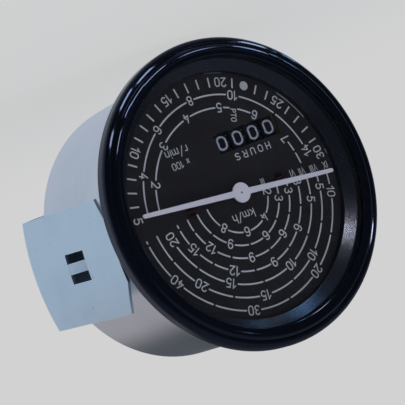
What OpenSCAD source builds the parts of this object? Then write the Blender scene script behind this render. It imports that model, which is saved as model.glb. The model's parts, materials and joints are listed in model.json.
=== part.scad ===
// Tractor tachometer with speed scales and an hour counter, in millimetres.
// The axis lies along Y. The dial faces -Y and the cable nipple points to +Y.
// The origin is on the axis, in the plane where the bezel seats on the panel.

/* [Panel and case] */
// Outside radius of the case, which passes through the panel hole
case_r = 69; // [66:0.5:72]
// Sheet thickness of the case
case_wall = 1; // [0.8:0.1:1.2]
// Radius of the case's rear edge
case_edge_r = 4; // [2:0.5:5]

/* [Bezel and glass] */
// How far the bezel reaches past the case
bezel_reach = 9; // [8.5:0.5:12]
// Sheet thickness of the bezel
bezel_sheet = 1; // [0.8:0.1:1.2]
// Width of the rim that holds the glass
bezel_rim = 10; // [9.5:0.5:11]
// Thickness of the glass
glass_t = 3; // [2.5:0.5:3.5]
// Thickness of the rubber ring under the glass
gasket_t = 0.8; // [0.6:0.1:1]
// Height of the round bead on the rim
bead_h = 0.9; // [0.5:0.1:1.2]
// Radius of the round bead on the rim
bead_r = 1.9; // [1.5:0.1:2.2]
// Radius of the bezel's outer corner
bezel_corner_r = 3.5; // [2.5:0.1:3.6]

/* [Dial] */
// Depth of the dial's face behind the panel seat
dial_depth = 4; // [3.5:0.1:4.5]
// Thickness of the dial plate
dial_t = 0.8; // [0.6:0.1:1]
// Gap between the dial's edge and the case
dial_gap = 2; // [1.5:0.1:2.5]
// How far the shroud laps over the dial's edge
shroud_lap = 3.7; // [2:0.1:4.5]
// How far the shroud's inner edge stands in front of the dial
shroud_stand = 3.5; // [2:0.1:4.5]
// Sheet thickness of the shroud
shroud_wall = 1; // [0.8:0.1:1.2]
// Distance of the two dial screws from the axis
post_x = 28; // [26:0.5:30]
// Radius of the dial screws' heads
dial_screw_r = 2.7; // [2.2:0.1:3]
// Length of the counter's window
window_w = 39; // [36:0.5:42]
// Height of the counter's window
window_h = 10; // [9:0.5:11]

/* [Pointer] */
// Reach of the pointer from the axis, the same at both ends
pointer_reach = 57.6; // [50:0.1:60]
// Width of the pointer at its hub
pointer_hub_w = 3.1; // [2.5:0.1:4]
// Width of the pointer at its tips
pointer_tip_w = 2; // [1.5:0.1:2.4]
// Thickness of the pointer
pointer_t = 0.7; // [0.5:0.1:1]
// Height of the pointer above the dial
pointer_lift = 5.2; // [4:0.1:5.4]
// Radius of the pointer's hub
pointer_hub_r = 5; // [3.5:0.1:6]
// Resting angle of the pointer, clockwise from upright
pointer_rest = 96; // [94:0.5:98]
// Travel of the pointer between its stops
pointer_travel = 172; // [160:1:180]

/* [Mounting strap] */
// Width of the strap
strap_w = 57; // [50:1:60]
// Sheet thickness of the strap
strap_t = 1.5; // [1.2:0.1:2]
// Gap between the case and each bend of the strap, to the outside of the sheet
strap_gap = 11; // [9:0.5:13]
// Radius on which each leg is curved across its width
leg_curve = 130; // [100:5:150]
// How far each leg leans in towards the case at its free end
leg_lean_in = 6.5; // [5:0.5:7]
// Depth of each leg's free end behind the panel seat
leg_end = 5.5; // [4:0.5:10]
// Width of each leg's free end between its cut corners
leg_end_w = 26; // [20:1:40]
// Length of each cut corner along the leg
leg_corner = 9; // [5:0.5:12]
// Angle by which each bend of the strap is out of square
leg_skew = 4; // [0:0.5:5]
// Turn of the strap about the axis, from the play in its holes
strap_turn = 1; // [0:0.5:2]
// Length of the lanced slots in each leg
lance_l = 16; // [14:1:22]
// Width of each lanced slot
lance_w = 4.8; // [3:0.1:6]
// Width of the tongue between the slots
tongue_w = 5.4; // [3:0.1:6]
// How far the tongue is pressed in
tongue_dip = 1; // [0.5:0.1:1.1]
// Distance of the strap's studs from the axis
stud_x = 36; // [34:0.5:40]
// Radius of the strap's studs
stud_r = 2.5; // [2:0.5:3]

/* [Cable nipple] */
// Radius of the thread for the drive cable's union nut
nipple_r = 9; // [8:0.5:10]
// Length of the nipple behind the case
nipple_l = 37; // [34:1:40]
// Radius of the bore that takes the cable's ferrule
nipple_bore = 6.5; // [6:0.1:6.8]
// Depth of that bore
ferrule_l = 18; // [14:1:20]
// Radius of the drive spindle
spindle_r = 3; // [2.5:0.1:3.2]
// Side of the square hole for the cable's end
cable_square = 2.8; // [2.4:0.1:3.2]

/* [Speed mechanism] */
// Radius of the magnet
magnet_r = 11.3; // [10:0.1:12]
// Length of the magnet
magnet_l = 11; // [9:0.5:12]
// Gap between the magnet and the drag cup
cup_gap = 0.7; // [0.5:0.1:1]
// Wall of the drag cup
cup_wall = 0.5; // [0.4:0.1:0.8]
// Wall of the fixed field cup
field_wall = 1.8; // [1.2:0.1:2.2]
// Radius of the pointer's arbor
arbor_r = 0.8; // [0.6:0.1:1]
// Turns of the hairspring
hair_turns = 6; // [4:1:7]
// Spacing of the hairspring's turns
hair_pitch = 0.9; // [0.8:0.1:1]
// Thickness of the mechanism's base plate
base_t = 3.5; // [3:0.5:4]
// Space in front of the reduction gear and behind it
gear_gap = 1.75; // [1:0.05:3]

/* [Counter] */
// Distance of the counter's middle from the axis, to the left
counter_left = 20; // [19:0.1:21]
// Distance of the counter's middle below the axis
counter_down = 26.2; // [25:0.1:27]
// Spacing of the number wheels
wheel_pitch = 9.9; // [9.5:0.1:10.2]
// Radius of the number wheels
wheel_r = 14.5; // [14:0.1:14.8]
// Gap between the rims of the number wheels
gap_w = 2.1; // [1.9:0.1:2.4]
// Teeth on each number wheel's gear
wheel_teeth = 20; // [20:1:20]
// Teeth on each transfer pinion
pinion_teeth = 8; // [8:1:8]
// Thickness of the gears between the number wheels
carry_t = 0.8; // [0.6:0.1:0.9]

/* [Lamps and ground] */
// Distance of each lamp from the middle
lamp_x = 22; // [20:0.5:24]
// Distance of the lamps' row from the case's top
lamp_inset = 23; // [21:0.5:25]
// Radius of the lamp sockets
lamp_r = 6; // [5:0.5:7]
// Distance of the ground screw from the case's bottom
ground_inset = 21; // [17:0.5:24]

/* [Hidden] */
$fn = 96;

// Fits
run = 0.05;
seat_gap = 0.3;
eps = 0.01;

// Case, bezel and glass, from the panel seat forwards
bezel_r = case_r + bezel_reach;
rim_r = bezel_r - bezel_rim;
hook_r = case_r + 1.2;
flange_r = bezel_r - bezel_sheet - 0.6;
glass_r = bezel_r - bezel_corner_r - 0.5;
flange_front = -bezel_sheet - case_wall;
shroud_t = 1.4;
shroud_front = flange_front - shroud_t;
glass_back = shroud_front - gasket_t;
glass_front = glass_back - glass_t;
rim_front = glass_front - bezel_sheet;
bead_mid = rim_r + 3.7;
case_in = case_r - case_wall;

// Dial and pointer
dial_r = case_in - dial_gap;
shroud_r = dial_r - shroud_lap;
dial_back = dial_depth + dial_t;
pointer_back = dial_depth - pointer_lift;
pointer_front = pointer_back - pointer_t;

dial_screw_l = 8;
dial_head_t = 1.3;

// Number wheels stand behind the dial, and the field cup begins behind them
count_gap = 0.7;
rim_w = wheel_pitch - gap_w;
count_y = dial_back + wheel_r + count_gap;
count_z = -counter_down;
field_front = count_y + wheel_r + 0.5;

// Mechanism, from the dial to the rear
cup_in = magnet_r + cup_gap;
cup_out = cup_in + cup_wall;
cup_front = field_front + 1;
magnet_front = cup_front + 3;
magnet_back = magnet_front + magnet_l;
field_in = cup_out + cup_gap;
field_out = field_in + field_wall;
base_depth = magnet_back + 6;
base_back = base_depth + base_t;
base_x = stud_x + 10;
bridge_back = cup_front - 6;
bridge_t = 1.5;
bridge_w = 10;
bridge_front = bridge_back - bridge_t;
post_r = 3.5;
post_tip_r = 2.5;
bridge_x = post_x + post_r + 1.5;
screw_r = 1.2;
pivot_r = 0.5;
pivot_l = 5;
collet_r = 1.6;
hair_t = 0.15;
hair_h = 0.8;
hair_front = bridge_front - 3.5;
hair_end = collet_r + hair_turns * hair_pitch;
stop_arm = 5;
stop_front = bridge_back + 1;
stop_t = 1;
stop_pin_r = 0.6;

// Worm drives: each pair has its own circular pitch, and the teeth run with play
worm_play = 0.15;
thread_share = 0.27;
cross_teeth = 24;
cross_pitch_r = 6.4;
drive_worm_r = spindle_r + 1.2;
cross_x = -cross_pitch_r - drive_worm_r;
cross_pitch = 2 * PI * cross_pitch_r / cross_teeth;
cross_tip_r = cross_pitch_r + thread_share * cross_pitch;
cross_y = base_back + gear_gap + cross_tip_r;
drive_worm_turns = 6;
shaft_r = 1.25;
lay_teeth = 26;
lay_pitch_r = 13;
lay_pitch = 2 * PI * lay_pitch_r / lay_teeth;
lay_x = 8;
cross_worm_r = lay_x - cross_x - lay_pitch_r;
cross_worm_turns = 4;
count_teeth = 20;
count_pitch_r = 5.5;
count_pitch = 2 * PI * count_pitch_r / count_teeth;
lay_worm_turns = 6;
lay_worm_r = 2.4;
lay_z = count_z + count_pitch_r + lay_worm_r;
wheel_w = 4;
ear_r = 3.5;
ear_t = 3;
ear_high = wheel_w / 2 + 10;
ear_low = lay_z - 12;
count_shaft_r = 1.5;

// Rear of the case, behind the reduction gear, and the strap on it
collar_t = 3;
bush_front = cross_y + cross_tip_r + gear_gap;
wall_front = bush_front + collar_t;
case_depth = wall_front + case_wall;
strap_back = case_depth + strap_t;
strap_x = case_r + strap_gap;
lance_mid = 42;
leg_cut = 20;
bend_r = 3;
bend_flat = 12;

// Cable nipple and spindle
nipple_back = case_depth + nipple_l;
spindle_back = nipple_back - ferrule_l - 1;
nut_h = 6;
nut_back = strap_back + nut_h;
shank_r = nipple_r + 1;
washer_t = 1;
bush_r = spindle_r + 2.3;

// Lamps: the socket's cap behind the case, and the stem and pin of its terminal
lamp_z = case_r - lamp_inset;
ground_z = case_r - ground_inset;
socket_l = 12;
bulb_l = 19;
cap_h = 7;
cap_t = 1.5;
stem_r = 2;
terminal_r = 1.5;
terminal_l = 5.3;

// Number wheels, numbered from the units on the right
unit_x = -counter_left + 1.5 * wheel_pitch;
carry_distance = wheel_r + 1.1;
carry_module = 2 * carry_distance / (wheel_teeth + pinion_teeth);
wheel_gear_r = carry_module * wheel_teeth / 2;
pinion_r = carry_module * pinion_teeth / 2;
pinion_tip_r = pinion_r + carry_module * 0.8;
pinion_down = acos((wheel_r + count_gap - pinion_tip_r - seat_gap) / carry_distance);
pinion_y = count_y - carry_distance * cos(pinion_down);
pinion_z = count_z - carry_distance * sin(pinion_down);
pinion_shaft_r = 0.75;
frame_left = -counter_left - 2 * wheel_pitch - 3;
frame_right = lay_x + 5;
frame_t = 1.5;
frame_back = count_y + wheel_r + 3;
frame_top = -field_out - 0.6;
frame_bottom = pinion_z - 5;
base_high = field_out + 1;
base_low = pinion_z - 4;

// Places a part that is drawn upright along the axis, with its top to the rear
module to_rear(x = 0, y = 0, z = 0) {
    translate([x, y, z]) rotate([-90, 0, 0]) children();
}

// Places a part that is drawn upright along X, with its top to the right
module to_right(x = 0, y = 0, z = 0) {
    translate([x, y, z]) rotate([0, 90, 0]) children();
}

// Turned part along Y from an outline of radius and depth
module turned(outline) {
    rotate([-90, 0, 0]) rotate_extrude() polygon(outline);
}

// Round bar or tube along the local axis
module tube(r, bore, length) {
    difference() {
        cylinder(r = r, h = length);
        if (bore > 0)
            translate([0, 0, -1]) cylinder(r = bore, h = length + 2);
    }
}

// Points on an arc
function arc(c, r, from, to, steps) =
    [for (i = [0 : steps]) let (a = from + (to - from) * i / steps) c + r * [cos(a), sin(a)]];

// Flat outline of a gear with straight-sided teeth, one tooth on the local X axis
module gear_outline(teeth, root, tip, root_w, tip_w) {
    circle(r = root);
    for (i = [0 : teeth - 1])
        rotate(360 * i / teeth)
            polygon([[root - 0.6, -root_w / 2], [tip, -tip_w / 2], [tip, tip_w / 2],
                [root - 0.6, root_w / 2]]);
}

// Worm wheel on the local Z axis, with its teeth sized for a thread of the given pitch
module worm_wheel(teeth, pitch_r, pitch, width, bore) {
    height = pitch * thread_share;
    linear_extrude(width, center = true) difference() {
        gear_outline(teeth, pitch_r - height - worm_play, pitch_r + height, pitch * 0.52, pitch * 0.26);
        circle(r = bore);
    }
}

// Height of a worm's thread at a part of a turn: a crest at 0, the root at one half
function thread_height(u) =
    let (d = min(u - floor(u), 1 - u + floor(u))) max(0, min(1, (0.25 - d) / 0.15));

// Left-hand worm on the local Z axis, with a crest towards local X at its middle
module worm(pitch, r, turns, bore) {
    height = pitch * thread_share;
    around = 12;
    along = 6 * turns;
    length = turns * pitch;
    root = r - height - worm_play;
    tip = r + height;
    points = [for (i = [0 : along]) for (j = [0 : around - 1])
        let (z = length * (i / along - 0.5),
            a = 360 * j / around,
            h = root + (tip - root) * thread_height(z / pitch + j / around))
        [h * cos(a), h * sin(a), z]];
    sides = [for (i = [0 : along - 1]) for (j = [0 : around - 1])
        let (k = (j + 1) % around, a = i * around + j, b = i * around + k)
        each [[a, a + around, b], [b, a + around, b + around]]];
    ends = [[for (j = [0 : around - 1]) j],
        [for (j = [around - 1 : -1 : 0]) along * around + j]];
    difference() {
        polyhedron(points, concat(sides, ends));
        translate([0, 0, -length]) cylinder(r = bore, h = 2 * length);
    }
}

// Housing, from the front to the rear

module bezel_ring() {
    corner = [bezel_r - bezel_corner_r, rim_front + bezel_corner_r];
    color([0.07, 0.08, 0.11])
        turned(concat(
            [[hook_r, 0], [hook_r, -bezel_sheet], [bezel_r - bezel_sheet, -bezel_sheet]],
            arc(corner, bezel_corner_r - bezel_sheet, 360, 270, 5),
            [[rim_r, glass_front], [rim_r, rim_front + 0.4]],
            arc([rim_r + 0.9, rim_front + 0.4], 0.9, 180, 250, 4),
            arc([bead_mid, rim_front + bead_r - bead_h], bead_r, 232, 308, 8),
            [[bead_mid + 2.1, rim_front + 0.3]],
            arc(corner, bezel_corner_r, 264, 360, 8),
            arc([bezel_r - bezel_sheet, -bezel_sheet], bezel_sheet, 0, 90, 3)));
}

module window_glass() {
    color([0.8, 0.9, 0.95, 0.3])
        to_rear(y = glass_front) tube(glass_r, 0, glass_t);
}

module glass_gasket() {
    color([0.1, 0.1, 0.1])
        to_rear(y = glass_back) tube(glass_r, rim_r + 1, gasket_t);
}

// Pressed ring: a clamped flange, a face that slopes in towards the dial, a wall behind the
// face's inner edge that holds the dial down, and a spigot in the case
module dial_shroud() {
    edge = 0.6;
    spigot_r = case_in - seat_gap;
    inner_y = dial_depth - shroud_stand;
    lean = atan2(inner_y - shroud_front, rim_r - 0.4 - shroud_r);
    function back(r) = inner_y + shroud_wall / cos(lean) - (r - shroud_r) * tan(lean);
    color([0.05, 0.05, 0.06])
        turned(concat(
            [[flange_r, shroud_front], [flange_r, flange_front], [spigot_r, flange_front],
                [spigot_r, 0], [spigot_r - shroud_wall, 0],
                [spigot_r - shroud_wall, back(spigot_r - shroud_wall)],
                [shroud_r + shroud_wall, back(shroud_r + shroud_wall)],
                [shroud_r + shroud_wall, dial_depth - seat_gap], [shroud_r, dial_depth - seat_gap]],
            arc([shroud_r + edge, inner_y + edge / tan(45 + lean / 2)], edge, 180, 270 - lean, 4),
            arc([rim_r - 0.4 + edge * tan(lean / 2), shroud_front + edge], edge, 270 - lean, 270, 3)));
}

module case_shell() {
    color([0.66, 0.67, 0.73])
        difference() {
            turned(concat(
                [[flange_r, flange_front], [flange_r, -bezel_sheet], [case_r, -bezel_sheet]],
                arc([case_r - case_edge_r, case_depth - case_edge_r], case_edge_r, 0, 90, 8),
                [[0, case_depth], [0, wall_front]],
                arc([case_r - case_edge_r, case_depth - case_edge_r], case_edge_r - case_wall, 90, 0, 8),
                [[case_in, flange_front]]));
            to_rear(y = wall_front - 1) cylinder(r = shank_r + run, h = case_wall + 2);
            for (s = [-1, 1]) {
                to_rear(s * stud_x, wall_front - 1) cylinder(r = stud_r + run, h = case_wall + 2);
                to_rear(s * lamp_x, wall_front - 1, lamp_z) cylinder(r = lamp_r + run, h = case_wall + 2);
            }
            to_rear(0, wall_front - 1, -ground_z) cylinder(r = stud_r - run, h = case_wall + 2);
        }
}

// Outline of one strap leg and its bend, as radius from the leg's own curve and depth
function leg_outline() =
    let (r = leg_curve, bend_at = [r - bend_r, strap_back - bend_r], tip = r - leg_lean_in)
    concat(
        [[r - bend_flat, strap_back]],
        arc(bend_at, bend_r, 90, 0, 6),
        [[tip, leg_end - 1], [tip - strap_t, leg_end - 1]],
        arc(bend_at, bend_r - strap_t, 0, 90, 6),
        [[r - bend_flat, case_depth]]);

// Curved sheet of one leg, turned as its bend is, before its ends and slots are cut
module leg_sheet(inset) {
    translate([strap_x, 0, 0]) rotate([0, leg_skew, 0]) translate([-leg_curve - inset, 0, 0])
        rotate([-90, 0, 0])
            rotate([0, 0, -30]) rotate_extrude(angle = 60, $fn = 180) polygon(leg_outline());
}

// Space that a leg may fill: its sides run askew, and the corners of its free end are cut off
module leg_space() {
    length = strap_back - leg_end;
    half = strap_w / 2;
    translate([strap_x, strap_back, 0]) rotate([-leg_skew, 0, 0])
        to_right(-leg_cut) linear_extrude(2 * leg_cut)
            polygon([[half, bend_r], [half, leg_corner - length], [leg_end_w / 2, -length],
                [-leg_end_w / 2, -length], [-half, leg_corner - length], [-half, bend_r]]);
}

// Box on the leg that is as long as the lance, for its slots and its tongue
module lance_box(z, width, overlap) {
    translate([strap_x, strap_back, 0]) rotate([-leg_skew, 0, 0])
        translate([-leg_cut, -lance_mid - lance_l / 2 - overlap, z - width / 2])
            cube([leg_cut + 5, lance_l + 2 * overlap, width]);
}

// One leg with its lance: two slots, and a tongue between them that is pressed in
module strap_leg() {
    difference() {
        intersection() {
            leg_sheet(0);
            leg_space();
        }
        lance_box(0, tongue_w + 2 * lance_w, 0);
    }
    intersection() {
        leg_sheet(tongue_dip);
        lance_box(0, tongue_w, 1);
    }
}

module mounting_strap() {
    plate_x = strap_x - bend_flat + 2;
    color([0.62, 0.68, 0.74])
        difference() {
            rotate([0, -strap_turn, 0]) union() {
                for (side = [0, 180])
                    rotate([0, side, 0]) strap_leg();
                translate([-plate_x, case_depth, -strap_w / 2]) cube([2 * plate_x, strap_t, strap_w]);
            }
            to_rear(y = case_depth - 1) cylinder(r = shank_r + seat_gap, h = strap_t + 2);
            for (s = [-1, 1])
                to_rear(s * stud_x, case_depth - 1) cylinder(r = stud_r + seat_gap, h = strap_t + 2);
        }
}

// Dial and pointer

// Flat shape in the dial's plane, seen from the front, pressed to a thickness behind y
module on_dial(y, t) {
    translate([0, y + t, 0]) rotate([90, 0, 0]) linear_extrude(t) children();
}

module dial_plate() {
    color([0.1, 0.1, 0.11])
        on_dial(dial_depth, dial_t) difference() {
            circle(r = dial_r);
            circle(r = arbor_r + 1.4);
            for (s = [-1, 1])
                translate([s * post_x, 0]) circle(r = screw_r + run);
            translate([-counter_left - window_w / 2, -counter_down - window_h / 2])
                square([window_w, window_h]);
        }
}

module dial_screws() {
    head_front = dial_depth - dial_head_t;
    color([0.2, 0.18, 0.17])
        for (s = [-1, 1])
            difference() {
                union() {
                    to_rear(s * post_x, head_front) cylinder(r = dial_screw_r, h = dial_head_t);
                    to_rear(s * post_x, dial_depth - eps) cylinder(r = screw_r, h = dial_screw_l);
                }
                translate([s * post_x - dial_screw_r - 1, head_front - 0.5 * dial_head_t, -screw_r * 0.3])
                    cube([2 * dial_screw_r + 2, dial_head_t, screw_r * 0.6]);
            }
}

// One arm of the pointer, upright, with a round tip
module pointer_arm() {
    reach = pointer_reach - pointer_tip_w / 2;
    polygon([[-pointer_hub_w / 2, 0], [pointer_hub_w / 2, 0],
        [pointer_tip_w / 2, reach], [-pointer_tip_w / 2, reach]]);
    translate([0, reach]) circle(r = pointer_tip_w / 2);
}

module pointer() {
    color([0.8, 0.78, 0.82])
        on_dial(pointer_front, pointer_t) rotate(-pointer_rest) difference() {
            union() {
                pointer_arm();
                rotate(180) pointer_arm();
                circle(r = pointer_hub_r);
            }
            circle(r = pivot_r);
        }
}

// Turned arbor that carries the pointer, the drag cup and the arm between the stops
module pointer_arbor() {
    color([0.75, 0.72, 0.6]) {
        to_rear(y = pointer_front) cylinder(r = pivot_r, h = pointer_t + eps);
        to_rear(y = pointer_back) cylinder(r = arbor_r, h = magnet_front + pivot_l - pointer_back);
        to_rear(y = hair_front) cylinder(r = collet_r - run, h = hair_h);
        on_dial(stop_front, stop_t) rotate(-pointer_rest)
            translate([-0.5, 0]) square([1, stop_arm]);
    }
}

module drag_cup() {
    hub_r = 2.2;
    color([0.8, 0.8, 0.82])
        turned([[arbor_r, cup_front - 2], [hub_r, cup_front - 2], [hub_r, cup_front],
            [cup_out, cup_front], [cup_out, magnet_back + 1], [cup_in, magnet_back + 1],
            [cup_in, cup_front + cup_wall], [arbor_r, cup_front + cup_wall]]);
}

// Spiral of half turns, each on one of two centres
module hairspring() {
    shift = hair_pitch / 2;
    color([0.35, 0.4, 0.6])
        for (k = [0 : 2 * hair_turns - 1])
            to_rear(k % 2 == 0 ? 0 : shift, hair_front)
                rotate(k % 2 == 0 ? 0 : 180)
                    rotate_extrude(angle = 180)
                        translate([collet_r + k * shift, 0]) square([hair_t, hair_h]);
}

module regulator_stud() {
    stud = 0.7;
    color([0.75, 0.72, 0.6])
        to_rear(hair_end + hair_t + stud + run, hair_front) cylinder(r = stud, h = bridge_front - hair_front);
}

// Pins behind the bridge that stop the arbor's arm at the ends of its travel
module travel_stops() {
    at_r = 4.2;
    margin = asin((stop_pin_r + 0.5 + run) / at_r);
    color([0.75, 0.72, 0.6])
        for (a = [pointer_rest - margin, pointer_rest + pointer_travel + margin])
            to_rear(at_r * sin(a), bridge_back, at_r * cos(a)) cylinder(r = stop_pin_r, h = 2.2);
}

module arbor_bridge() {
    color([0.72, 0.65, 0.42])
        difference() {
            translate([-bridge_x, bridge_front, -bridge_w / 2]) cube([2 * bridge_x, bridge_t, bridge_w]);
            to_rear(y = bridge_front - 1) cylinder(r = arbor_r + run, h = bridge_t + 2);
            for (s = [-1, 1])
                to_rear(s * post_x, bridge_front - 1) cylinder(r = post_tip_r, h = bridge_t + 2);
        }
}

// Hexagon nut on the local axis, measured across its flats
module hex_nut(flats, bore, height) {
    difference() {
        cylinder(r = flats / 2 / cos(30), h = height, $fn = 6);
        translate([0, 0, -1]) cylinder(r = bore, h = height + 2);
    }
}

module bridge_nuts() {
    height = post_tip_r;
    color([0.72, 0.65, 0.42])
        for (s = [-1, 1])
            to_rear(s * post_x, bridge_front - height) hex_nut(3.2 * post_tip_r, post_tip_r, height);
}

// Mechanism

module field_cup() {
    color([0.5, 0.5, 0.52])
        to_rear(y = field_front) tube(field_out, field_in, base_depth - field_front);
}

// Ear on the base plate that carries one end of the cross shaft
module cross_ear(z) {
    difference() {
        union() {
            translate([cross_x - ear_r, base_back - eps, z]) cube([2 * ear_r, cross_y - base_back, ear_t]);
            translate([cross_x, cross_y, z]) cylinder(r = ear_r, h = ear_t);
        }
        translate([cross_x, cross_y, z - 1]) cylinder(r = shaft_r + run, h = ear_t + 2);
    }
}

module base_casting() {
    color([0.6, 0.6, 0.6])
        difference() {
            union() {
                translate([-base_x, base_depth, base_low])
                    cube([2 * base_x, base_t, base_high - base_low]);
                for (s = [-1, 1]) {
                    to_rear(s * post_x, bridge_back) cylinder(r = post_r, h = base_depth - bridge_back + eps);
                    to_rear(s * post_x, dial_back)
                        cylinder(r = post_tip_r, h = bridge_back - dial_back + eps);
                    to_rear(s * stud_x, base_back - eps) cylinder(r = 5, h = wall_front - base_back + eps);
                }
                cross_ear(ear_high);
                cross_ear(ear_low);
            }
            to_rear(y = base_depth - 1) cylinder(r = spindle_r + run, h = base_t + 2);
            to_rear(lay_x, base_depth - 1, lay_z) cylinder(r = shaft_r + run, h = base_t + 2);
            for (s = [-1, 1]) {
                to_rear(s * post_x, dial_back - 1) cylinder(r = screw_r, h = dial_screw_l + 1.5);
                to_rear(s * stud_x, base_back + 6) cylinder(r = stud_r, h = wall_front - base_back);
            }
        }
}

module ring_magnet() {
    color([0.3, 0.3, 0.32])
        to_rear(y = magnet_front) tube(magnet_r, spindle_r, magnet_l);
}

// Spindle with a pivot hole at its front and the cable's square hole at its rear
module drive_spindle() {
    color([0.7, 0.7, 0.72])
        difference() {
            union() {
                to_rear(y = magnet_front) cylinder(r = spindle_r, h = spindle_back - magnet_front);
                to_rear(y = magnet_back) cylinder(r = spindle_r + 1.5, h = 1.5);
            }
            to_rear(y = magnet_front - 1) cylinder(r = arbor_r + run, h = pivot_l + 1.3);
            translate([-cable_square / 2, spindle_back - 10, -cable_square / 2])
                cube([cable_square, 11, cable_square]);
        }
}

module drive_worm() {
    color([0.7, 0.7, 0.72])
        to_rear(y = cross_y) worm(cross_pitch, drive_worm_r, drive_worm_turns, spindle_r);
}

module spindle_bush() {
    color([0.78, 0.6, 0.35])
        to_rear(y = bush_front) tube(bush_r, spindle_r + run, spindle_back - 2 - bush_front);
}

module drive_nipple() {
    color([0.66, 0.68, 0.72])
        turned([[bush_r, bush_front], [shank_r + 3, bush_front], [shank_r + 3, wall_front],
            [shank_r, wall_front], [shank_r, nut_back], [nipple_r, nut_back],
            [nipple_r, nipple_back - 1], [nipple_r - 1, nipple_back],
            [nipple_bore, nipple_back], [nipple_bore, nipple_back - ferrule_l],
            [bush_r, nipple_back - ferrule_l]]);
}

module nipple_nut() {
    color([0.66, 0.68, 0.72])
        to_rear(y = strap_back) hex_nut(2.7 * shank_r, shank_r, nut_h);
}

module strap_studs() {
    front = base_back + 6;
    color([0.66, 0.68, 0.72])
        for (s = [-1, 1])
            to_rear(s * stud_x, front) cylinder(r = stud_r, h = strap_back + 9 - front);
}

module strap_washers() {
    color([0.66, 0.68, 0.72])
        for (s = [-1, 1])
            to_rear(s * stud_x, strap_back) tube(2.2 * stud_r, stud_r + run, washer_t);
}

module strap_nuts() {
    color([0.66, 0.68, 0.72])
        for (s = [-1, 1])
            to_rear(s * stud_x, strap_back + washer_t) hex_nut(3.2 * stud_r, stud_r, 1.6 * stud_r);
}

// Reduction gear from the spindle to the counter

module cross_shaft() {
    color([0.7, 0.7, 0.72])
        translate([cross_x, cross_y, ear_low - 1])
            cylinder(r = shaft_r, h = ear_high + ear_t + 2 - ear_low);
}

module cross_wheel() {
    color([0.78, 0.66, 0.36])
        translate([cross_x, cross_y, 0])
            worm_wheel(cross_teeth, cross_pitch_r, cross_pitch, wheel_w, shaft_r);
}

module cross_worm() {
    color([0.7, 0.7, 0.72])
        translate([cross_x, cross_y, lay_z]) rotate(180)
            worm(lay_pitch, cross_worm_r, cross_worm_turns, shaft_r);
}

module lay_shaft() {
    front = count_y - 7;
    color([0.7, 0.7, 0.72])
        to_rear(lay_x, front, lay_z) cylinder(r = shaft_r, h = cross_y + 4 - front);
}

module lay_wheel() {
    color([0.78, 0.66, 0.36])
        to_rear(lay_x, cross_y, lay_z) worm_wheel(lay_teeth, lay_pitch_r, lay_pitch, wheel_w, shaft_r);
}

module lay_worm() {
    color([0.7, 0.7, 0.72])
        to_rear(lay_x, count_y, lay_z) rotate(-90)
            worm(count_pitch, lay_worm_r, lay_worm_turns, shaft_r);
}

// Counter

// Frame of two side plates and a back plate, on two feet
module counter_frame() {
    front = dial_back + 1;
    top = count_z + 7;
    width = frame_right - frame_left + frame_t;
    color([0.72, 0.65, 0.42])
        difference() {
            union() {
                for (x = [frame_left, frame_right])
                    translate([x, front, frame_bottom])
                        cube([frame_t, frame_back - front + frame_t, top - frame_bottom]);
                translate([frame_left, frame_back, frame_bottom])
                    cube([width, frame_t, frame_top - frame_bottom]);
                for (x = [frame_left + 5, frame_right - 4])
                    to_rear(x, frame_back, frame_bottom + 5)
                        cylinder(r = 2.5, h = base_depth - frame_back);
            }
            to_right(frame_left - 1, count_y, count_z) cylinder(r = count_shaft_r, h = width + 2);
            to_right(frame_left - 1, pinion_y, pinion_z) cylinder(r = pinion_shaft_r, h = width + 2);
            to_rear(lay_x, frame_back - 1, lay_z) cylinder(r = shaft_r + run, h = frame_t + 2);
        }
}

module counter_shaft() {
    color([0.7, 0.7, 0.72])
        to_right(frame_left - 1, count_y, count_z)
            cylinder(r = count_shaft_r, h = frame_right - frame_left + frame_t + 2);
}

module pinion_shaft() {
    color([0.7, 0.7, 0.72])
        to_right(frame_left - 1, pinion_y, pinion_z)
            cylinder(r = pinion_shaft_r, h = frame_right - frame_left + frame_t + 2);
}

// Worm wheel that turns the units wheel, with the sleeve between them
module counter_wheel() {
    sleeve = unit_x + rim_w / 2;
    color([0.78, 0.66, 0.36])
        union() {
            to_right(lay_x, count_y, count_z)
                worm_wheel(count_teeth, count_pitch_r, count_pitch, wheel_w, count_shaft_r + run);
            to_right(sleeve, count_y, count_z)
                tube(3.2, count_shaft_r + run, lay_x - wheel_w / 2 - sleeve + eps);
        }
}

// Number wheel, counted from the left, with a web and a locking disc on its left side
module number_wheel(place) {
    x = -counter_left + (place - 2.5) * wheel_pitch;
    rim_t = 1.6;
    hub = 3.2;
    disc_r = carry_distance - pinion_tip_r - 0.4;
    color([0.06, 0.06, 0.07])
        to_right(x - rim_w / 2, count_y, count_z)
            difference() {
                union() {
                    tube(wheel_r, wheel_r - rim_t, rim_w);
                    cylinder(r = wheel_r - rim_t + eps, h = 2);
                    cylinder(r = hub, h = rim_w);
                    if (place > 1)
                        translate([0, 0, -carry_t]) cylinder(r = disc_r, h = carry_t + eps);
                }
                translate([0, 0, -2]) cylinder(r = count_shaft_r + run, h = rim_w + 4);
            }
}

// Outline of a gear of the transfer train
module carry_outline(teeth, r, bore) {
    difference() {
        gear_outline(teeth, r - carry_module, r + 0.8 * carry_module, 1.3 * carry_module,
            0.6 * carry_module);
        circle(r = bore);
    }
}

// Brass gear on the right side of each number wheel but the units wheel
module carry_gear(place) {
    x = -counter_left + (place - 2.5) * wheel_pitch + rim_w / 2;
    color([0.78, 0.66, 0.36])
        to_right(x, count_y, count_z) rotate(pinion_down - 90)
            linear_extrude(carry_t) carry_outline(wheel_teeth, wheel_gear_r, count_shaft_r + run);
}

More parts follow.
